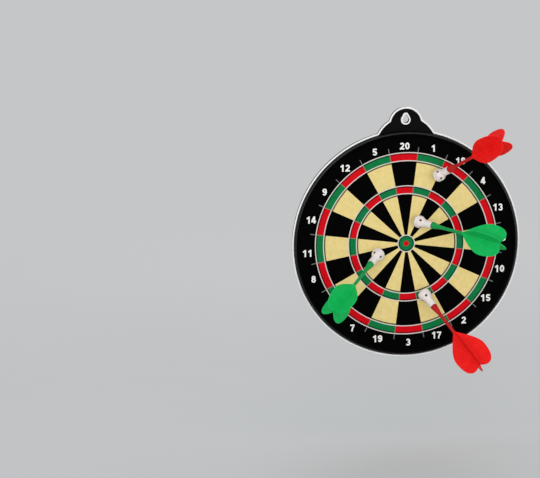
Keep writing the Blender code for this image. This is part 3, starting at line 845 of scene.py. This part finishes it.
def make_magnet():
    """Disc magnet with chamfered edges."""
    face, side = MAGNET_RADIUS - MAGNET_EDGE, MAGNET_THICK - MAGNET_EDGE
    profile = [(0.0, 0.0), (face, 0.0), (MAGNET_RADIUS, MAGNET_EDGE), (MAGNET_RADIUS, side),
               (face, MAGNET_THICK), (0.0, MAGNET_THICK)]
    return lathe(profile, MAGNET_SIDES)


def make_darts():
    """The four darts, each tipped over on the rounded rim of its holder."""
    flight, holder, magnet = make_flight(), make_holder(), make_magnet()
    for name, colour, across, up, lean_deg, heading, roll in DARTS:
        lean = math.radians(lean_deg)
        rim = BULB_ROUND * (1.0 - math.sin(lean)) + (BULB_RADIUS - BULB_ROUND) * math.cos(lean)
        nose = Vector((across * BOARD_RADIUS, up * BOARD_RADIUS, FACE_TOP + FIT + rim)) * MM
        place = BOARD @ Matrix.Translation(nose) @ Matrix.Rotation(math.radians(heading), 4, "Z")
        place = place @ Matrix.Rotation(math.pi / 2.0 - lean, 4, "Y")
        place = place @ Matrix.Rotation(math.radians(roll), 4, "Z")
        add_piece(name + "_flight_moulding", flight.copy(), [colour, colour + "_vane"], name,
                  colour + "_plastic", place, name + "_flight")
        add_piece(name + "_holder_moulding", holder.copy(), ["white_plastic", "holder_painted_shade"], name,
                  "white_plastic", place, name + "_holder")
        add_piece(name + "_magnet_disc", magnet.copy(), ["magnet"], name, "magnet", place, name + "_magnet")


def dress_nodes():
    """Finishes of the CAD pieces that are shown as they are."""
    for node, material in (("core_board", "core_board"), ("steel_sheet", "tinplate")):
        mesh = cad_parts[node].data
        mesh.materials.clear()
        mesh.materials.append(looks[material])


def seen_share(nodes, links):
    """Socket that is 1 for rays from the camera, in a reflection or through glass, and 0 for lighting."""
    path = nodes.new("ShaderNodeLightPath")
    either = nodes.new("ShaderNodeMath")
    either.operation = "MAXIMUM"
    links.new(path.outputs["Is Camera Ray"], either.inputs[0])
    links.new(path.outputs["Is Glossy Ray"], either.inputs[1])
    all_three = nodes.new("ShaderNodeMath")
    all_three.operation = "MAXIMUM"
    links.new(either.outputs[0], all_three.inputs[0])
    links.new(path.outputs["Is Transmission Ray"], all_three.inputs[1])
    return all_three.outputs[0]


def make_world():
    """Even, pale surroundings that light the object and are seen a little darker."""
    world = bpy.data.worlds.new("studio")
    world.use_nodes = True
    scene.world = world
    nodes, links = world.node_tree.nodes, world.node_tree.links
    sky = nodes["Background"]
    sky.inputs["Color"].default_value = SKY_COLOUR
    level = nodes.new("ShaderNodeMapRange")
    level.inputs["To Min"].default_value = SKY_LIGHT
    level.inputs["To Max"].default_value = SKY_SEEN
    links.new(seen_share(nodes, links), level.inputs["Value"])
    links.new(level.outputs["Result"], sky.inputs["Strength"])


def make_floor():
    """Pale floor under the object that keeps its shadow and fades into the pale surroundings."""
    mesh = bpy.data.meshes.new("floor")
    reach, level = FADE[1], cad_box[0].z - FLOOR_DROP
    corners = ((-reach, -reach), (reach, -reach), (reach, reach), (-reach, reach))
    mesh.from_pydata([(x, y, level) for x, y in corners], [], [(0, 1, 2, 3)])
    floor = link("floor", mesh)
    made = look("floor", *FLOOR_TINTS, **FLOOR)
    nodes, links = made.node_tree.nodes, made.node_tree.links
    reach_out = nodes.new("ShaderNodeVectorMath")
    reach_out.operation = "LENGTH"
    links.new(nodes.new("ShaderNodeTexCoord").outputs["Object"], reach_out.inputs[0])
    fade = nodes.new("ShaderNodeMapRange")
    fade.interpolation_type = "SMOOTHSTEP"
    fade.inputs["From Min"].default_value = FADE[0]
    fade.inputs["From Max"].default_value = FADE[1]
    links.new(reach_out.outputs["Value"], fade.inputs["Value"])
    blend = nodes.new("ShaderNodeMixShader")
    links.new(fade.outputs["Result"], blend.inputs["Fac"])
    links.new(nodes["Principled BSDF"].outputs["BSDF"], blend.inputs[1])
    links.new(nodes.new("ShaderNodeBsdfTransparent").outputs["BSDF"], blend.inputs[2])
    links.new(blend.outputs["Shader"], nodes["Material Output"].inputs["Surface"])
    mesh.materials.append(made)


def add_lamp(name, spot, size, power):
    """Soft square lamp that faces the board."""
    lamp = bpy.data.lights.new(name, "AREA")
    lamp.size = size
    lamp.energy = power
    obj = link(name, lamp)
    obj.location = spot
    obj.rotation_mode = "QUATERNION"
    obj.rotation_quaternion = (Vector(LAMP_AIM) - Vector(spot)).to_track_quat("-Z", "Y")


def make_camera():
    """Long lens on the photograph's line of sight, turned so the board sits at its place in the frame."""
    a, e = math.radians(AZIMUTH), math.radians(ELEVATION)
    back = Vector((math.sin(a) * math.cos(e), -math.cos(a) * math.cos(e), math.sin(e)))
    right = Vector((math.cos(a), math.sin(a), 0.0))
    up = back.cross(right)
    focal = LENS / SENSOR * IMAGE[0]
    yaw = math.atan((CENTRE_AT[0] - IMAGE[0] / 2.0) / focal)
    pitch = math.atan((CENTRE_AT[1] - IMAGE[1] / 2.0) / focal)
    facing = Matrix((right, up, back)).transposed()
    turned = facing @ Matrix.Rotation(yaw, 3, "Y") @ Matrix.Rotation(pitch, 3, "X")
    data = bpy.data.cameras.new("camera")
    data.lens = LENS
    data.sensor_width = SENSOR
    data.clip_end = 100.0
    camera = link("camera", data)
    camera.location = BOARD @ Vector((0.0, 0.0, FACE_TOP * MM)) + back * (focal * MM_PER_PIXEL * MM)
    camera.rotation_mode = "QUATERNION"
    camera.rotation_quaternion = turned.to_quaternion()
    scene.camera = camera


make_frames()
make_face()
make_back()
make_darts()
dress_nodes()
make_world()
make_floor()
for lamp_values in LAMPS:
    add_lamp(*lamp_values)
make_camera()
scene.view_settings.view_transform = "Standard"
